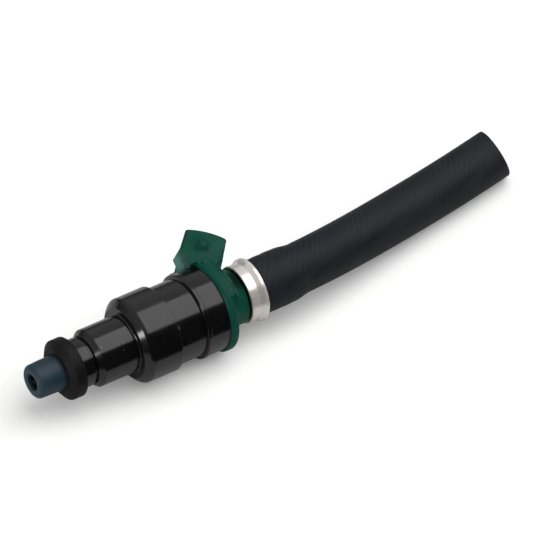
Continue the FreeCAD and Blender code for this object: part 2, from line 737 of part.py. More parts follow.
# The root's front corners end above the flange
corner_ring = turned("corner_ring", [
    ("root_front", "root_inner_radius"),
    ("root_front", "flange_radius * 3"),
    ("flange_front", "flange_radius * 3"),
    ("flange_front", "root_inner_radius"),
])
below_corners = doc.addObject("Part::Box", "below_corners")
below_corners.setExpression("Length", bound("flange_front - root_front"))
below_corners.setExpression("Width", bound("flange_radius * 6"))
below_corners.setExpression("Height", bound("flange_radius * 6"))
doc.recompute()
corner_shift = FreeCAD.Vector(
    0, -below_corners.Width.Value / 2, mm("root_foot") - below_corners.Height.Value)
below_corners.Placement = FreeCAD.Placement(
    FreeCAD.Vector(mm("root_front") - mm("tip_reach"), 0, 0) + lean.multVec(corner_shift), lean)
corner_relief = joined("Part::MultiCommon", "corner_relief", [corner_ring, below_corners])

blades = []
for side, way in (("left", "-"), ("right", "")):
    blade = upright(
        "blade_" + side, "blade_thickness", "blade_width",
        "blade_foot", "mouth_reach - blade_set_back", "")
    side_step = FreeCAD.Vector(0, float(way + "1") * mm("blade_spacing") / 2, 0)
    blade.Placement = along_connector.multiply(FreeCAD.Placement(side_step, FreeCAD.Rotation()))
    finish(blade, "terminal_blade_" + side)
    blades.append(blade)
doc.recompute()

cutters = joined("Part::MultiFuse", "moulding_cutters", [
    socket, relief, front_relief, corner_relief, tube_way, ring_way] + pockets)
hollow = joined("Part::Cut", "moulding_hollow", [blank, cutters])
blade_pair = joined("Part::MultiFuse", "blade_pair", blades)
finish(joined("Part::Cut", "moulding", [hollow, blade_pair]), "connector_moulding")

# Ferrule and hose

finish(turned("hose_ferrule", [
    ("ferrule_front", "barb_tube_radius"),
    ("ferrule_front", "ferrule_radius - 0.4"),
    ("ferrule_front + 0.4", "ferrule_radius"),
    ("ferrule_flare", "ferrule_radius"),
    ("ferrule_rim", "ferrule_rim_radius"),
    ("ferrule_end", "ferrule_rim_radius"),
    ("ferrule_end", "ferrule_rim_radius - ferrule_wall"),
    ("ferrule_flare", "ferrule_radius - ferrule_wall"),
    ("hose_front", "ferrule_radius - ferrule_wall"),
    ("hose_front", "barb_tube_radius"),
]), "hose_ferrule")

# The hose's route, from inside the ferrule to its cut end: x from the origin, y and z from the axis
route = [
    (53.2, 0, 0),
    (65.3, 0, 0),
    (77.9, 1.6, -1.1),
    (92.5, 4.8, -3.0),
    (107.0, 8.2, -4.5),
    (121.5, 11.3, -5.35),
    (133.5, 13.75, -5.6),
    (145.0, 16.25, -5.6),
]


def rounded_path(points):
    """Straight runs joined by arcs that are tangent to both."""
    points = [FreeCAD.Vector(*p) for p in points]
    edges = []
    last = points[0]
    for before, corner, after in zip(points, points[1:], points[2:]):
        back = before - corner
        ahead = after - corner
        reach = 0.45 * min(back.Length, ahead.Length)
        half_turn = (math.pi - back.getAngle(ahead)) / 2
        print("hose bend radius %.1f mm" % (reach / math.tan(half_turn)))
        back.normalize()
        ahead.normalize()
        start = corner + back * reach
        end = corner + ahead * reach
        middle = back + ahead
        middle.normalize()
        radius = reach / math.tan(half_turn)
        centre = corner + middle * (radius / math.cos(half_turn))
        top = centre - middle * radius
        edges.append(Part.LineSegment(last, start).toShape())
        edges.append(Part.Arc(start, top, end).toShape())
        last = end
    edges.append(Part.LineSegment(last, points[-1]).toShape())
    return Part.Wire(edges)


path = rounded_path(route)
spine = doc.addObject("Part::Feature", "hose_path")
spine.Shape = path


def swept(name, radius):
    circle = doc.addObject("Part::Circle", name + "_section")
    circle.setExpression("Radius", bound(radius))
    circle.Placement = FreeCAD.Placement(
        FreeCAD.Vector(*route[0]), FreeCAD.Rotation(FreeCAD.Vector(0, 1, 0), 90))
    sweep = doc.addObject("Part::Sweep", name)
    sweep.Sections = [circle]
    sweep.Spine = (spine, ["Edge%d" % (i + 1) for i in range(len(path.Edges))])
    sweep.Solid = True
    sweep.Frenet = False
    doc.recompute()
    return sweep


hose_outer = swept("hose_outer", "hose_radius")
hose_inner = swept("hose_inner", "hose_bore_radius")
for sweep, radius in ((hose_outer, "hose_radius"), (hose_inner, "hose_bore_radius")):
    wanted = math.pi * mm(radius) ** 2 * path.Length
    print("%s volume %.0f of %.0f mm3" % (sweep.Name, sweep.Shape.Volume, wanted))
print("hose route %.1f mm long" % path.Length)

swell = turned("hose_swell", [
    ("hose_front", "hose_bore_radius"),
    ("hose_front", "hose_inner_end_radius"),
    ("ferrule_flare + 1.2", "hose_inner_end_radius"),
    ("ferrule_end + 0.5", "hose_swell_radius"),
    ("swell_end", "hose_swell_radius"),
    ("swell_fade", "hose_radius - 0.05"),
    ("swell_fade", "hose_bore_radius"),
])
barb_way = turned("barb_way", [
    ("hose_front - 1", "0"),
    ("hose_front - 1", "barb_tube_radius"),
    ("inlet_end - 0.8 - barb_length * 3", "barb_tube_radius"),
    ("inlet_end - 0.8 - barb_length * 3", "barb_radius"),
    ("inlet_end - 0.8", "barb_radius"),
    ("inlet_end + 0.2", "barb_tube_radius"),
    ("inlet_end + 0.2", "0"),
])
hose_solid = joined("Part::MultiFuse", "hose_solid", [hose_outer, swell])
hose_hollow = joined("Part::Cut", "hose_hollow", [hose_solid, hose_inner])
finish(joined("Part::Cut", "hose", [hose_hollow, barb_way]), "fuel_hose")

doc.recompute()
for item in doc.Objects:
    if "Invalid" in item.State or "Error" in item.State:
        raise RuntimeError("%s failed: %s" % (item.Label, item.State))
os.makedirs("parts", exist_ok=True)
for item in parts:
    shape = item.Shape
    if shape.isNull() or not shape.isValid():
        raise RuntimeError("%s has no valid shape" % item.Label)
    box = shape.BoundBox
    print("%-22s %d solid  %8.1f mm3  x %6.2f..%6.2f  z %6.2f..%6.2f" % (
        item.Label, len(shape.Solids), shape.Volume, box.XMin, box.XMax, box.ZMin, box.ZMax))
    shape.exportStep("parts/%s.step" % item.Label)
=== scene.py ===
import math

import bmesh
import bpy
from mathutils import Matrix, Vector


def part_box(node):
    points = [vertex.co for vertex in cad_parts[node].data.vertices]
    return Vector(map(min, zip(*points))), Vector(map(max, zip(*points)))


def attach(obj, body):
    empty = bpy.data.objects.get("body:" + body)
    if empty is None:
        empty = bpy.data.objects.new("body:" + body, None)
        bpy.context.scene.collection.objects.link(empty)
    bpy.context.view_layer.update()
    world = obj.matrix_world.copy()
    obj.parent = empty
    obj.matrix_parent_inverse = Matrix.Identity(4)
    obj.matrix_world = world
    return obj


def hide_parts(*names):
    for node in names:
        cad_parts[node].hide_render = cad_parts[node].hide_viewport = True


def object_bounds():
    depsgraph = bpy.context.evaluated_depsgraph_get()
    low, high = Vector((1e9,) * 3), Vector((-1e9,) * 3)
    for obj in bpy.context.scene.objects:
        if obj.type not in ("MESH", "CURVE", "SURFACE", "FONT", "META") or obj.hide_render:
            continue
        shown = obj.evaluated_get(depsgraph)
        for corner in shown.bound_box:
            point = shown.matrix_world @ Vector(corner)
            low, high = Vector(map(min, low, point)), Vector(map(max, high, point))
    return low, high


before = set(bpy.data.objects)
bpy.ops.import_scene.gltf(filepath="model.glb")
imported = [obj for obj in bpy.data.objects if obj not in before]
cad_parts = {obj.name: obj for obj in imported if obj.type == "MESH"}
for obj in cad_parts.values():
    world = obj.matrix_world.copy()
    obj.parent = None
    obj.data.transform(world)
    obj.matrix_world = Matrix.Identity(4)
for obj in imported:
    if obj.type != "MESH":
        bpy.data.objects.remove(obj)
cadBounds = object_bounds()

mm = 0.001
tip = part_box("pintle_cap")[0][0]       # x of the nozzle tip, stations count back from here
floorHeight = cadBounds[0][2]


view = {
    "aim": (63.7, 2.8, 2.75),          # mm, middle of the picture
    "azimuth": -33.2,
    "elevation": 40.8,
    "distance": 3000,                  # mm
    "across": 141.4,                   # mm of the object that the picture spans
}


def directionTo(azimuth, elevation):
    turn, rise = math.radians(azimuth), math.radians(elevation)
    return Vector((math.sin(turn) * math.cos(rise), -math.cos(turn) * math.cos(rise), math.sin(rise)))


def aimed(obj, place, target):
    obj.matrix_world = Matrix.LocRotScale(place, (target - place).to_track_quat("-Z", "Y"), None)
    return obj


def newObject(name, data):
    obj = bpy.data.objects.new(name, data)
    bpy.context.collection.objects.link(obj)
    return obj


def makeCamera():
    data = bpy.data.cameras.new("camera")
    data.type = "ORTHO"                # a view from far off
    data.ortho_scale = view["across"] * mm
    data.clip_end = 20
    aim = Vector(view["aim"]) * mm
    place = aim + directionTo(view["azimuth"], view["elevation"]) * view["distance"] * mm
    bpy.context.scene.camera = aimed(newObject("camera", data), place, aim)


makeCamera()
print("camera done")


def fillIn(node, values):
    # a number or text key is a socket, a lower-case word is a setting of the node itself
    for key, value in values.items():
        if isinstance(key, str) and key[0].islower():
            setattr(node, key, value)
    for key, value in values.items():
        if isinstance(key, int) or not key[0].islower():
            if isinstance(value, bpy.types.NodeSocket):
                node.id_data.links.new(value, node.inputs[key])
            else:
                node.inputs[key].default_value = value
    return node


def addNode(tree, kind, values=None):
    return fillIn(tree.nodes.new(kind), values or {})


def linear(hexColour):
    value = hexColour.lstrip("#")
    parts = [int(value[i:i + 2], 16) / 255 for i in (0, 2, 4)]
    return tuple(c / 12.92 if c <= 0.04045 else ((c + 0.055) / 1.055) ** 2.4 for c in parts) + (1,)


def newMaterial(name):
    material = bpy.data.materials.new(name)
    material.use_nodes = True
    material.node_tree.nodes.clear()
    return material, material.node_tree


def finishMaterial(tree, shader):
    addNode(tree, "ShaderNodeOutputMaterial", {"Surface": shader.outputs[0]})


def ramp(tree, value, low, high, toLow, toHigh):
    return addNode(tree, "ShaderNodeMapRange", {
        "Value": value, "From Min": low, "From Max": high, "To Min": toLow, "To Max": toHigh}).outputs[0]


def noise(tree, coords, size, detail=3, distortion=0.0):
    # size is the width of one patch in mm
    return addNode(tree, "ShaderNodeTexNoise", {
        "Vector": coords, "Scale": 1 / (size * mm), "Detail": detail, "Distortion": distortion}).outputs[0]


def stretched(tree, coords, x, y, z):
    return addNode(tree, "ShaderNodeVectorMath", {
        "operation": "MULTIPLY", 0: coords, 1: (x, y, z)}).outputs[0]


def colourMix(tree, factor, first, second):
    return addNode(tree, "ShaderNodeMix", {
        "data_type": "RGBA", 0: factor, 6: first, 7: second}).outputs[2]


def wornAndShaded(name, look):
    # one recipe for the solid pieces: soft patches, uneven gloss, specks, fine scratches and grain, and placed marks,
    # some of them painted shade and painted highlight
    material, tree = newMaterial(name)
    coords = addNode(tree, "ShaderNodeTexCoord").outputs["Object"]
    patches = noise(tree, coords, look["patch"], 4)
    base = colourMix(tree, ramp(tree, patches, 0.35, 0.65, 0, 1), linear(look["colour"]), linear(look["second"]))
    dust = noise(tree, coords, look["speck"], 2)
    dustMask = ramp(tree, dust, look["speckFrom"], look["speckFrom"] + 0.03, 0, look["speckAmount"])
    base = colourMix(tree, dustMask, base, linear(look["speckColour"]))
    # placed marks: some are wear, some are painted shade and painted highlight
    for place, reach, colour in look.get("marks", []):
        offset = addNode(tree, "ShaderNodeVectorMath", {
            "operation": "SUBTRACT", 0: coords, 1: Vector(place) * mm}).outputs[0]
        away = addNode(tree, "ShaderNodeVectorMath", {
            "operation": "LENGTH", 0: stretched(tree, offset, *[1 / (side * mm) for side in reach])}).outputs["Value"]
        ragged = addNode(tree, "ShaderNodeMath", {
            "operation": "MULTIPLY", 0: away, 1: ramp(tree, dust, 0.3, 0.7, 0.7, 1.8)}).outputs[0]
        base = colourMix(tree, ramp(tree, ragged, 0.5, 1.1, 1, 0), base, linear(colour))
    scratchCoords = stretched(tree, coords, look["brushed"], 1, 1)
    scratches = noise(tree, scratchCoords, look["scratch"], 3, 0.4)
    grain = noise(tree, coords, look["grain"], 2)
    rough = addNode(tree, "ShaderNodeMath", {
        "operation": "ADD",
        0: ramp(tree, patches, 0.3, 0.7, look["gloss"][0], look["gloss"][1]),
        1: ramp(tree, scratches, 0.55, 0.75, 0, look["scratchGloss"])}).outputs[0]
    height = addNode(tree, "ShaderNodeMath", {
        "operation": "ADD",
        0: ramp(tree, grain, 0, 1, 0, 1),
        1: ramp(tree, scratches, 0.5, 0.8, 0, look["scratchDepth"])}).outputs[0]
    edge = addNode(tree, "ShaderNodeBevel", {"samples": 6, "Radius": look["edge"] * mm}).outputs[0]
    bump = addNode(tree, "ShaderNodeBump", {
        "Strength": look["bump"], "Distance": 0.00004, "Height": height, "Normal": edge}).outputs[0]
    shader = addNode(tree, "ShaderNodeBsdfPrincipled", {
        "Base Color": base, "Metallic": look["metal"], "Roughness": rough, "Normal": bump,
        "Anisotropic": look.get("anisotropy", 0), "Coat Weight": look.get("coat", 0),
        "Coat Roughness": 0.12, "Specular IOR Level": look.get("specular", 0.5)})
    finishMaterial(tree, shader)
    return material


def lookOf(colour, second, **changes):
    look = {
        "colour": colour, "second": second, "metal": 0.0, "gloss": (0.3, 0.4),
        "patch": 6.0, "speck": 0.5, "speckFrom": 0.74, "speckAmount": 0.4, "speckColour": "#8c8c88",
        "brushed": 0.25, "scratch": 0.35, "scratchGloss": 0.08, "scratchDepth": 0.4,
        "grain": 0.12, "bump": 0.12, "edge": 0.12}
    look.update(changes)
    return look


# black phosphated and oiled steel: near black, mirrors the soft box as a clear band
blackSteelLook = lookOf("#09090a", "#0d0d0e", gloss=(0.12, 0.18), speck=0.35, speckFrom=0.74, bump=0.05, marks=[
    # place in mm, reach in mm, colour: a rubbed patch by the step, a pit, and two small pale spots
    ((28.1, -8.9, 6.4), (0.5, 0.9, 1.3), "#574f47"),
    ((30.2, -9.0, 6.3), (0.4, 0.4, 0.4), "#020202"),
    ((6.6, -4.4, 6.7), (0.25, 0.25, 0.25), "#8a8882"),
    ((12.2, -6.6, 4.6), (0.2, 0.2, 0.2), "#77756f"),
])
# turned steel, pale and slightly brushed round the axis
plainSteelLook = lookOf("#6f6d69", "#5f5d5a", metal=1.0, gloss=(0.28, 0.4), brushed=6,
                        speckColour="#4c4742", marks=[
    # painted shade: the needle's pin darkened where it stands in the spray hole
    ((-12, 0, 0), (3.0, 1.5, 1.5), "#15120f"),
])
# drawn spring wire, darker than the turned steel
springSteelLook = lookOf("#6d6b68", "#585653", metal=1.0, gloss=(0.3, 0.42), speckColour="#3c3835")
# enamelled copper wire, orange brown with a lacquer
copperLook = lookOf("#b5602f", "#8f4420", metal=1.0, gloss=(0.25, 0.4), coat=0.5, speckColour="#5c2c14")
# glass-filled nylon of the coil former, dull brown black
bobbinLook = lookOf("#2c2926", "#35312c", gloss=(0.5, 0.6), grain=0.2, bump=0.25)
# glass-filled nylon of the cap, blue grey with a light rim
capLook = lookOf("#182c36", "#1e333e", gloss=(0.42, 0.52), grain=0.25, bump=0.3, speckColour="#3d525b",
                 edge=0.3, specular=0.3)
# soft black rubber of the seal, matt with fine grain
sealLook = lookOf("#0b0b0c", "#101011", gloss=(0.5, 0.62), grain=0.3, bump=0.35, speckColour="#333333",
                  edge=0.25, specular=0.15)
# dark green moulded nylon, satin, with paler scuffed specks
greenLook = lookOf("#053d31", "#094637", gloss=(0.34, 0.44), grain=0.3, bump=0.2, speckColour="#2f6153",
                   edge=0.12, specular=0.1, marks=[
    # place in mm, reach in mm, colour: a painted highlight on the front web, then shade painted on the neck and the
    # pockets
    ((41.5, 12.6, 7.6), (0.35, 5.5, 5.5), "#3f7f6f"),
    ((50.9, -1.5, 7.4), (2.2, 5.0, 5.0), "#021c15"),
    ((48.4, 1.7, 9.6), (1.3, 1.1, 1.9), "#01130d"),
    ((48.4, -4.7, 8.4), (1.3, 1.1, 1.9), "#01130d"),
])
# tinned brass blades
terminalLook = lookOf("#c9c2b0", "#b5ab93", metal=1.0, gloss=(0.22, 0.34), speckColour="#6f634a")
# zinc-plated crimp ring, bright satin with brownish tarnish
ferruleLook = lookOf("#efeae5", "#e2dbd4", metal=0.6, gloss=(0.2, 0.3), brushed=0.2, speck=0.4,
                     speckFrom=0.78, speckAmount=0.25, speckColour="#6a5a4b", scratchGloss=0.03, scratchDepth=0.1,
                     bump=0.04)
# fine nylon mesh of the filter, cream
strainerLook = lookOf("#b9b29c", "#a69f88", gloss=(0.5, 0.6), grain=0.2, bump=0.5, speckColour="#7a735f")

materials = {
    "black_steel": wornAndShaded("Black phosphated steel", blackSteelLook),
    "plain_steel": wornAndShaded("Turned steel", plainSteelLook),
    "spring_steel": wornAndShaded("Spring steel wire", springSteelLook),
    "copper": wornAndShaded("Enamelled copper", copperLook),
    "bobbin_plastic": wornAndShaded("Brown black nylon", bobbinLook),
    "cap_plastic": wornAndShaded("Blue grey nylon", capLook),
    "seal_rubber": wornAndShaded("Black seal rubber", sealLook),
    "green_plastic": wornAndShaded("Dark green nylon", greenLook),
    "terminal_metal": wornAndShaded("Tinned brass", terminalLook),
    "ferrule_metal": wornAndShaded("Zinc plated steel", ferruleLook),
    "strainer_mesh": wornAndShaded("Cream filter mesh", strainerLook),
}

clothLook = {
    "colour": "#0f1217", "second": "#171a20", "wornAndShaded": "#2b2e35",
    "turns": 26,                       # radians of twist per metre, sets how the marks slant
    "streak": 2.2,                     # mm along a mark
    "wraps": 18, "pitch": 1.9,         # slanting ridges round the hose, and mm from ridge to ridge along it
    "gloss": (0.5, 0.64),
}


def makeHoseRubber():
    # fuel hose rubber: charcoal, with the faint slanting print of the cloth it was cured in
    material, tree = newMaterial("Fuel hose rubber")
    around = addNode(tree, "ShaderNodeAttribute", {"attribute_name": "around"}).outputs["Vector"]
    along = addNode(tree, "ShaderNodeAttribute", {"attribute_name": "along"}).outputs["Fac"]
    twist = addNode(tree, "ShaderNodeMath", {
        "operation": "MULTIPLY", 0: along, 1: clothLook["turns"]}).outputs[0]
    turned = addNode(tree, "ShaderNodeVectorRotate", {
        "rotation_type": "Z_AXIS", "Vector": around, "Angle": twist}).outputs[0]
    slid = addNode(tree, "ShaderNodeCombineXYZ", {"Z": along}).outputs[0]
    coords = addNode(tree, "ShaderNodeVectorMath", {"operation": "ADD", 0: turned, 1: slid}).outputs[0]
    marks = noise(tree, stretched(tree, coords, 1, 1, 0.16), clothLook["streak"], 3, 0.3)
    parts = addNode(tree, "ShaderNodeSeparateXYZ", {0: around}).outputs

    def sums(operation, first, second):
        return addNode(tree, "ShaderNodeMath", {"operation": operation, 0: first, 1: second}).outputs[0]

    turn = sums("MULTIPLY", sums("ARCTAN2", parts[1], parts[0]), clothLook["wraps"])
    slide = sums("MULTIPLY", along, math.tau / (clothLook["pitch"] * mm))
    waver = sums("MULTIPLY", noise(tree, coords, 3.0, 2), 5.0)
    threads = sums("SINE", sums("ADD", sums("ADD", turn, slide), waver), 0)
    patchy = ramp(tree, noise(tree, coords, 7.0, 2), 0.4, 0.6, 0.15, 1)
    threads = sums("MULTIPLY", threads, patchy)
    dust = noise(tree, coords, 0.5, 3)
    base = colourMix(tree, ramp(tree, marks, 0.38, 0.62, 0, 1), linear(clothLook["colour"]),
                     linear(clothLook["second"]))
    base = colourMix(tree, ramp(tree, dust, 0.66, 0.74, 0, 0.6), base, linear(clothLook["wornAndShaded"]))
    base = colourMix(tree, ramp(tree, threads, 0, 1, 0, 0.25), base, linear(clothLook["wornAndShaded"]))
    height = addNode(tree, "ShaderNodeMath", {
        "operation": "ADD", 0: marks, 1: ramp(tree, threads, -1, 1, 0, 0.6)}).outputs[0]
    bump = addNode(tree, "ShaderNodeBump", {
        "Strength": 0.4, "Distance": 0.0001, "Height": height}).outputs[0]
    shader = addNode(tree, "ShaderNodeBsdfPrincipled", {
        "Base Color": base, "Roughness": ramp(tree, marks, 0.3, 0.7, *clothLook["gloss"]),
        "Specular IOR Level": 0.2, "Normal": bump})
    finishMaterial(tree, shader)
    return material


materials["hose_rubber"] = makeHoseRubber()
print("materials done")


def makeTurningTree():
    # lays the outline, drawn as distance along the route and distance from it, all the way round the route
    tree = bpy.data.node_groups.new("turned on a route", "GeometryNodeTree")
    for name, kind in (("Outline", "NodeSocketGeometry"), ("Route", "NodeSocketObject"),
                       ("Steps round", "NodeSocketInt"), ("Material", "NodeSocketMaterial")):
        tree.interface.new_socket(name, in_out="INPUT", socket_type=kind)
    tree.interface.new_socket("Geometry", in_out="OUTPUT", socket_type="NodeSocketGeometry")
    given = addNode(tree, "NodeGroupInput").outputs
    corners = addNode(tree, "GeometryNodeAttributeDomainSize", {"Geometry": given["Outline"]}).outputs[0]

    def sums(operation, first, second):
        return addNode(tree, "ShaderNodeMath", {"operation": operation, 0: first, 1: second}).outputs[0]

    rows = sums("ADD", corners, 1)
    grid = addNode(tree, "GeometryNodeMeshGrid", {
        "Vertices X": sums("ADD", given["Steps round"], 1), "Vertices Y": rows}).outputs[0]
    index = addNode(tree, "GeometryNodeInputIndex").outputs[0]
    column = sums("FLOOR", sums("DIVIDE", sums("ADD", index, 0.5), rows), 0)
    corner = sums("SUBTRACT", index, sums("MULTIPLY", column, rows))
    place = addNode(tree, "GeometryNodeInputPosition").outputs[0]
    drawn = addNode(tree, "GeometryNodeSampleIndex", {
        "data_type": "FLOAT_VECTOR", "Geometry": given["Outline"], "Value": place,
        "Index": sums("FLOORED_MODULO", corner, corners)}).outputs[0]
    parts = addNode(tree, "ShaderNodeSeparateXYZ", {0: drawn}).outputs
    angle = sums("MULTIPLY", sums("DIVIDE", column, given["Steps round"]), math.tau)
    route = addNode(tree, "GeometryNodeObjectInfo", {"Object": given["Route"]}).outputs["Geometry"]
    there = addNode(tree, "GeometryNodeSampleCurve", {
        "mode": "LENGTH", "use_all_curves": True, "Curves": route, "Length": parts[0]}).outputs
    side = addNode(tree, "ShaderNodeVectorRotate", {
        "rotation_type": "AXIS_ANGLE", "Vector": there["Normal"], "Axis": there["Tangent"],
        "Angle": angle}).outputs[0]
    reach = addNode(tree, "ShaderNodeVectorMath", {
        "operation": "SCALE", "Vector": side, "Scale": parts[1]}).outputs[0]
    point = addNode(tree, "ShaderNodeVectorMath", {"operation": "ADD", 0: there["Position"], 1: reach}).outputs[0]
    around = addNode(tree, "ShaderNodeCombineXYZ", {
        "X": sums("MULTIPLY", sums("COSINE", angle, 0), parts[1]),
        "Y": sums("MULTIPLY", sums("SINE", angle, 0), parts[1])}).outputs[0]
    shape = addNode(tree, "GeometryNodeStoreNamedAttribute", {
        "data_type": "FLOAT_VECTOR", "Geometry": grid, "Name": "around", "Value": around}).outputs[0]
    shape = addNode(tree, "GeometryNodeStoreNamedAttribute", {
        "data_type": "FLOAT", "Geometry": shape, "Name": "along", "Value": parts[0]}).outputs[0]
    shape = addNode(tree, "GeometryNodeSetPosition", {"Geometry": shape, "Position": point}).outputs[0]
    shape = addNode(tree, "GeometryNodeMergeByDistance", {"Geometry": shape, "Distance": 0.000001}).outputs[0]
    shape = addNode(tree, "GeometryNodeRealizeInstances", {"Geometry": shape}).outputs[0]
    shape = addNode(tree, "GeometryNodeSetMaterial", {
        "Geometry": shape, "Material": given["Material"]}).outputs[0]
    addNode(tree, "NodeGroupOutput", {0: shape})
    return tree


turningTree = makeTurningTree()


def makeRoute(name, points, order):
    # a smooth line through mm points
    data = bpy.data.curves.new(name, "CURVE")
    data.dimensions = "3D"
    data.resolution_u = 48
    spline = data.splines.new("NURBS")
    spline.points.add(len(points) - 1)
    for point, place in zip(spline.points, points):
        point.co = (*(Vector(place) * mm), 1)
    spline.order_u = order
    spline.use_endpoint_u = True
    return newObject(name, data)


tipInMm = tip / mm
axisRoute = makeRoute("axis route", [(tipInMm, 0, 0), (tipInMm + 100, 0, 0)], 2)


def softened(corners):
    # corners are (along, radius, rounding) in mm; a rounding is a small arc with a support point either side
    outline = []
    for i, (along, radius, rounding) in enumerate(corners):
        here = Vector((along, radius))
        if not rounding:
            outline.append(here)
            continue
        back = Vector(corners[i - 1][:2]) - here
        ahead = Vector(corners[(i + 1) % len(corners)][:2]) - here
        half = back.angle(ahead) / 2
        reach = min(rounding / math.tan(half), back.length * 0.45, ahead.length * 0.45)
        arcRadius = reach * math.tan(half)
        start, end = here + back.normalized() * reach, here + ahead.normalized() * reach
        centre = here + (back.normalized() + ahead.normalized()).normalized() * (arcRadius / math.sin(half))
        support = min(0.04, reach * 0.1)
        outline.append(start + back.normalized() * support)
        steps = 2 + round(rounding * 3)
        for step in range(steps + 1):
            ray = (start - centre).lerp(end - centre, step / steps).normalized()
            outline.append(centre + ray * arcRadius)
        outline.append(end + ahead.normalized() * support)
    return outline


def cleaned(obj, sharpAngle=None):
    # one closed skin facing outward
    mesh = bmesh.new()
    mesh.from_mesh(obj.data)
    bmesh.ops.remove_doubles(mesh, verts=mesh.verts, dist=0.000002)
    bmesh.ops.recalc_face_normals(mesh, faces=mesh.faces)
    mesh.to_mesh(obj.data)
    mesh.free()
    obj.data.shade_smooth()
    if sharpAngle:
        obj.data.set_sharp_from_angle(angle=math.radians(sharpAngle))
    return obj


def turned(name, outline, slot, route=None, steps=160):
    data = bpy.data.meshes.new(name + " outline")
    data.from_pydata([(along * mm, radius * mm, 0) for along, radius in outline], [], [])
    drawing = newObject(name + " outline", data)
    modifier = drawing.modifiers.new("turning", "NODES")
    modifier.node_group = turningTree
    given = {"Route": route or axisRoute, "Steps round": steps, "Material": materials[slot]}
    for socket in turningTree.interface.items_tree:
        if socket.name in given:
            modifier[socket.identifier] = given[socket.name]
    drawing.update_tag()
    bpy.context.view_layer.update()
    shaped = bpy.data.meshes.new_from_object(drawing.evaluated_get(bpy.context.evaluated_depsgraph_get()))
    drawing.modifiers.remove(modifier)
    bpy.data.objects.remove(drawing)
    piece = newObject(name, shaped)
    piece.data.name = name
    return cleaned(piece, 50)


def standsFor(piece, node, body="injector"):
    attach(piece, body)
    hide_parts(node)
    return piece


hose = {
    "route": [(53.2, 0, 0), (65.3, 0, 0), (77.9, 1.6, -1.1), (92.5, 4.8, -3.0), (107.0, 8.2, -4.5),
              (121.5, 11.3, -5.35), (133.5, 13.75, -5.6), (145.0, 16.25, -5.6)],
    "radius": 6.95, "bore": 3.75, "swell": 7.7, "inFerrule": 7.3,
    "swellStarts": 4.6, "swellEnds": 14.0, "swellFades": 19.5,      # mm from the hose's own end
    "exitFromStart": 4.1,
    "cutSlant": 22, "cutTowards": (-0.4145, -0.6334, 0.6534),       # degrees off square, and the side cut shortest
}


def slantEnd(piece, path):
    # the knife went through a little off square: the last stretch slides along the hose
    end = Vector(path[-1])
    ahead = (end - Vector(path[-6])).normalized()
    side = Vector(hose["cutTowards"])
    side = (side - ahead * side.dot(ahead)).normalized()
    stretch = 12 * mm
    for vertex in piece.data.vertices:
        away = vertex.co - end
        share = 1 + away.dot(ahead) / stretch
        if share > 0 and away.length < 2 * stretch:
            vertex.co -= ahead * (away.dot(side) * math.tan(math.radians(hose["cutSlant"])) * min(share, 1))


def makeHose():
    route = makeRoute("hose route", hose["route"], 3)
    bpy.context.view_layer.update()
    bare = bpy.data.meshes.new_from_object(route.evaluated_get(bpy.context.evaluated_depsgraph_get()))
    path = [tuple(v.co) for v in bare.vertices]
    length = sum((Vector(b) - Vector(a)).length for a, b in zip(path, path[1:])) / mm
    barbs = [(hose["swellStarts"] + 3.2 * i, hose["swell"]) for i in range(3)]
    outline = [(0, hose["bore"] + 0.9), (0, hose["inFerrule"] - 0.2), (0.2, hose["inFerrule"])]
    outline += [(hose["swellStarts"] - 1.2, hose["inFerrule"]), (hose["swellStarts"] - 0.4, hose["swell"] - 0.12)]
    for along, radius in barbs:
        outline += [(along, radius), (along + 1.2, radius - 0.03), (along + 2.4, radius - 0.1)]
    fadeSteps = 10
    for step in range(1, fadeSteps + 1):
        share = step / fadeSteps
        eased = share * share * (3 - 2 * share)
        outline.append((hose["swellEnds"] + (hose["swellFades"] - hose["swellEnds"]) * share,
                        hose["swell"] - 0.1 + (hose["radius"] - hose["swell"] + 0.1) * eased))
    straight = length - hose["swellFades"] - 0.6
    outline += [(hose["swellFades"] + straight * step / 70, hose["radius"]) for step in range(1, 71)]
    for step in range(7):
        turn = math.radians(15 * step)
        outline.append((length - 0.45 + 0.45 * math.sin(turn), hose["radius"] - 0.45 + 0.45 * math.cos(turn)))
    outline += [(length, hose["bore"] + 0.25), (length - 0.1, hose["bore"] + 0.05)]
    outline.append((length - 0.3, hose["bore"]))
    inside = length - 14.6 - 0.3
    outline += [(length - 0.3 - inside * step / 70, hose["bore"]) for step in range(1, 71)]
    outline += [(13.9, hose["bore"] + 0.3), (13.6, hose["bore"] + 0.9)]
    piece = turned("hose", outline, "hose_rubber", route, 128)
    slantEnd(piece, path)
    standsFor(piece, "fuel_hose")
    bpy.data.objects.remove(route)
    print("hose done,", round(length, 1), "mm long")


makeHose()


# corners are (distance from the tip, radius, rounding) in mm
cap = {"corners": [(0.25, 2.3, 0.4), (0.25, 4.75, 1.9), (5.0, 4.93, 0), (9.0, 4.93, 0), (9.0, 3.45, 0),
                   (1.6, 3.45, 0), (1.6, 2.3, 0.2)]}
seal = {"corners": [(8.2, 4.97, 0.1), (8.2, 6.5, 0.25), (9.65, 8.5, 0.25), (12.78, 8.5, 0.45), (12.78, 4.97, 0)]}
nozzle = {"corners": [(2.4, 0.62, 0.1), (2.4, 3.3, 0.3), (9.03, 3.3, 0), (9.03, 4.9, 0), (12.8, 4.9, 0),
                      (12.8, 6.87, 0.12), (16.3, 6.87, 0.18), (16.3, 6.2, 0.15), (17.2, 6.2, 0), (17.2, 6.1, 0),
                      (22.0, 6.1, 0.2), (22.0, 3.2, 0), (20.4, 3.2, 0), (20.4, 1.65, 0), (4.6, 1.65, 0),
                      (3.4, 0.66, 0)]}


def makeNozzleEnd():
    standsFor(turned("cap", softened(cap["corners"]), "cap_plastic"), "pintle_cap")
    standsFor(turned("seal", softened(seal["corners"]), "seal_rubber"), "nozzle_seal")
    standsFor(turned("nozzle", softened(nozzle["corners"]), "black_steel"), "nozzle_body")


makeNozzleEnd()
print("nozzle end done")


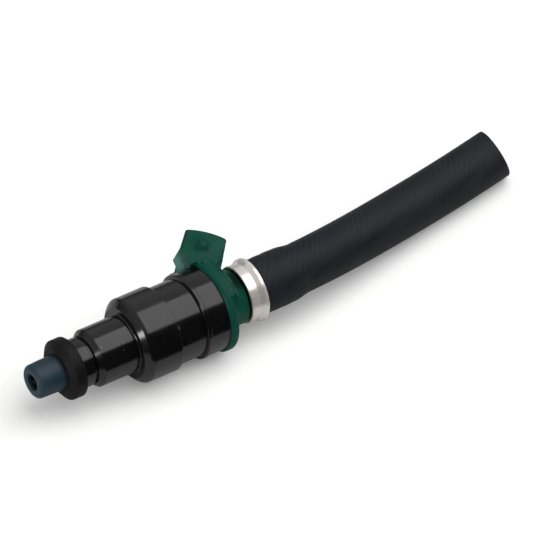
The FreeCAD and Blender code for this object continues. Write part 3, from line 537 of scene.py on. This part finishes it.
housing = {"corners": [(17.2, 6.15, 0), (17.2, 6.87, 0.12), (18.6, 8.12, 0.2), (29.6, 8.12, 0.3),
                       (29.6, 10.0, 0.3), (30.8, 11.4, 0.35), (31.6, 12.0, 0.4), (40.55, 12.0, 0.16),
                       (40.55, 11.0, 0.2), (48.6, 11.0, 0), (48.6, 9.8, 0), (31.1, 9.8, 0), (31.1, 5.5, 0),
                       (23.9, 5.5, 0), (23.9, 6.15, 0)]}
collar = {"corners": [(48.6, 10.4, 0), (48.6, 11.0, 0), (48.95, 11.97, 0.3), (49.9, 11.97, 0.3),
                      (50.05, 11.77, 0.08), (55.6, 11.77, 0.15), (55.8, 11.57, 0.1), (55.8, 10.4, 0),
                      (52.4, 10.4, 0)]}
ferrule = {"corners": [(65.2, 7.35, 0.1), (65.2, 8.05, 0.2), (67.9, 8.05, 0.6), (69.2, 8.8, 0.18),
                       (70.1, 8.8, 0.22), (70.1, 8.2, 0.1), (69.3, 7.9, 0.2), (67.8, 7.4, 0.3)]}


def makeHousing():
    standsFor(turned("housing", softened(housing["corners"]), "black_steel", steps=200),
              "valve_housing")
    standsFor(turned("collar", softened(collar["corners"]), "black_steel", steps=200),
              "rear_collar")
    standsFor(turned("ferrule", softened(ferrule["corners"]), "ferrule_metal"),
              "hose_ferrule")


makeHousing()
print("housing done")


pad = {
    "station": 58.5, "radius": 12.3, "lowTurn": -37, "highTurn": 9,
    "rise": [(3.0, 12.0), (3.6, 12.1), (4.2, 12.25)],              # y and z of its end on the connector's side
    "rings": [(1.4, -0.7), (1.4, 0.02), (1.33, 0.13), (1.2, 0.16), (1.08, 0.13), (1.02, 0.02), (0.9, -0.02)],
}


def makePad():
    # a blank raised label plate with a thin rim, bent round the moulding
    spine = []
    for step in range(25):
        turn = math.radians(pad["lowTurn"] + (pad["highTurn"] - pad["lowTurn"]) * step / 24)
        spine.append(Vector((0, math.sin(turn), math.cos(turn))) * pad["radius"])
    spine += [Vector((0, y, z)) for y, z in pad["rise"]]
    lengths = [0]
    for before, after in zip(spine, spine[1:]):
        lengths.append(lengths[-1] + (after - before).length)

    def placed(along, across, height):
        span = max(i for i in range(len(spine) - 1) if lengths[i] <= max(along, 0))
        ahead = (spine[span + 1] - spine[span]).normalized()
        outward = Vector((1, 0, 0)).cross(ahead)
        outward = -outward if outward.dot(spine[span]) < 0 else outward
        point = spine[span] + ahead * (along - lengths[span]) + outward * height
        return (point + Vector((pad["station"] + tip / mm + across, 0, 0))) * mm

    def halfRing(reach):
        half = [(-reach * math.cos(math.radians(15 * i)), reach * math.sin(math.radians(15 * i)))
                for i in range(7)]
        half += [(lengths[-1] * i / 30, reach) for i in range(1, 30)]
        return half + [(lengths[-1] + reach * math.sin(math.radians(15 * i)),
                        reach * math.cos(math.radians(15 * i))) for i in range(7)]

    mesh = bmesh.new()
    rings = []
    for reach, height in pad["rings"]:
        half = halfRing(reach)
        right = [mesh.verts.new(placed(along, across, height)) for along, across in half]
        left = [mesh.verts.new(placed(along, -across, height)) for along, across in half[1:-1]]
        rings.append(right + left[::-1])
    count = len(rings[0])
    for lower, upper in zip(rings, rings[1:]):
        for i in range(count):
            mesh.faces.new((lower[i], lower[(i + 1) % count], upper[(i + 1) % count], upper[i]))
    for ring in (rings[0], rings[-1]):
        last = count // 2
        for i in range(last):
            corners = [ring[i], ring[i + 1], ring[-i - 1], ring[-i % count]]
            unique = [v for n, v in enumerate(corners) if v not in corners[:n]]
            mesh.faces.new(unique)
    bmesh.ops.recalc_face_normals(mesh, faces=mesh.faces)
    return mesh


def makeMoulding():
    mesh = makePad()
    mesh.from_mesh(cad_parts["connector_moulding"].data)
    data = bpy.data.meshes.new("moulding")
    mesh.to_mesh(data)
    mesh.free()
    data.materials.append(materials["green_plastic"])
    piece = cleaned(newObject("moulding", data), 28)
    standsFor(piece, "connector_moulding")


makeMoulding()
print("moulding done")


kept = {
    "needle": "plain_steel", "armature": "plain_steel", "stop_plate": "plain_steel",
    "spacer_ring": "plain_steel", "coil_bobbin": "bobbin_plastic", "coil_winding": "copper",
    "flux_plate": "plain_steel", "inlet_tube": "plain_steel", "adjusting_sleeve": "plain_steel",
    "inlet_strainer": "strainer_mesh", "upper_o_ring": "seal_rubber", "lower_o_ring": "seal_rubber",
    "return_spring": "spring_steel", "terminal_blade_left": "terminal_metal",
    "terminal_blade_right": "terminal_metal",
}


def paintKept():
    for node, slot in kept.items():
        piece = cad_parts[node]
        piece.data.materials.clear()
        piece.data.materials.append(materials[slot])


paintKept()
print("kept nodes painted")


studio = {
    "floor": "#f4f4f3", "floorSize": 3.0,
    "floorGlow": 0.12,                 # lifts the paper to white for the camera
    "floorMirrored": 0.6,              # how bright the paper looks in the black steel
    "overhead": 0.55, "low": 0.04,
    "boxes": {
        "soft box": {"direction": (0.415, -0.24, 0.88), "distance": 1.0, "across": 1.12, "long": 1.7,
                     "brightness": 1.7},
        "end light": {"direction": (-0.96, -0.17, 0.2), "distance": 1.0, "across": 0.2, "long": 0.5,
                      "brightness": 11.0},
    },
    "card": {"from": (-30, -12.3), "to": (-150, 148), "long": 700},
}


def makeFloor():
    half = studio["floorSize"] / 2
    mesh = bpy.data.meshes.new("floor")
    corners = [(-half, -half, 0), (half, -half, 0), (half, half, 0), (-half, half, 0)]
    mesh.from_pydata(corners, [], [(0, 1, 2, 3)])
    floor = newObject("floor", mesh)
    floor.location.z = floorHeight
    material, tree = newMaterial("Matt white paper")
    coords = addNode(tree, "ShaderNodeTexCoord").outputs["Object"]
    shade = ramp(tree, noise(tree, coords, 30, 3), 0.3, 0.7, 0.98, 1)
    tint = addNode(tree, "ShaderNodeVectorMath", {
        "operation": "SCALE", "Vector": linear(studio["floor"])[:3], "Scale": shade}).outputs[0]
    rays = addNode(tree, "ShaderNodeLightPath").outputs
    glow = ramp(tree, rays["Is Camera Ray"], 0, 1, 0, studio["floorGlow"])
    seen = ramp(tree, rays["Is Glossy Ray"], 0, 1, 1, studio["floorMirrored"])
    tint = addNode(tree, "ShaderNodeVectorMath", {"operation": "SCALE", "Vector": tint, "Scale": seen}).outputs[0]
    shader = addNode(tree, "ShaderNodeBsdfPrincipled", {
        "Base Color": tint, "Roughness": 0.75, "Specular IOR Level": 0.2,
        "Emission Color": (1, 1, 1, 1), "Emission Strength": glow})
    finishMaterial(tree, shader)
    mesh.materials.append(material)


def makeLights():
    target = Vector((40 * mm, 0, 0))
    for name, box in studio["boxes"].items():
        back = Vector(box["direction"]).normalized()
        data = bpy.data.lights.new(name, "AREA")
        data.shape = "RECTANGLE"
        data.size, data.size_y = box["long"], box["across"]
        data.energy = box["brightness"] * math.pi * box["long"] * box["across"]
        light = newObject(name, data)
        along = (Vector((1, 0.01, 0)) - back * back.dot(Vector((1, 0.01, 0)))).normalized()
        light.matrix_world = Matrix.Translation(target + back * box["distance"]) @ Matrix(
            (along, back.cross(along), back)).transposed().to_4x4()

    card = studio["card"]
    half = card["long"] / 2
    ends = (40 - half, 40 + half)
    corners = [(x * mm, y * mm, z * mm) for x in ends for y, z in (card["from"], card["to"])]
    mesh = bpy.data.meshes.new("black card")
    mesh.from_pydata(corners, [], [(0, 1, 3, 2)])
    blackCard = newObject("black card", mesh)
    material, tree = newMaterial("Black card")
    finishMaterial(tree, addNode(tree, "ShaderNodeBsdfDiffuse", {"Color": (0.004, 0.004, 0.004, 1)}))
    mesh.materials.append(material)
    blackCard.visible_camera = False
    blackCard.visible_diffuse = False
    blackCard.visible_shadow = False


def makeWorld():
    world = bpy.data.worlds.new("studio")
    world.use_nodes = True
    world.node_tree.nodes.clear()
    tree = world.node_tree
    direction = addNode(tree, "ShaderNodeTexCoord").outputs["Generated"]
    height = addNode(tree, "ShaderNodeSeparateXYZ", {0: direction}).outputs["Z"]
    glow = ramp(tree, height, 0.0, 0.5, studio["low"], studio["overhead"])
    background = addNode(tree, "ShaderNodeBackground", {"Color": (1, 1, 1, 1), "Strength": glow})
    addNode(tree, "ShaderNodeOutputWorld", {"Surface": background.outputs[0]})
    bpy.context.scene.world = world


makeFloor()
makeLights()
makeWorld()
bpy.context.scene.view_settings.view_transform = "Standard"
bpy.data.objects.remove(axisRoute)
print("stage done")
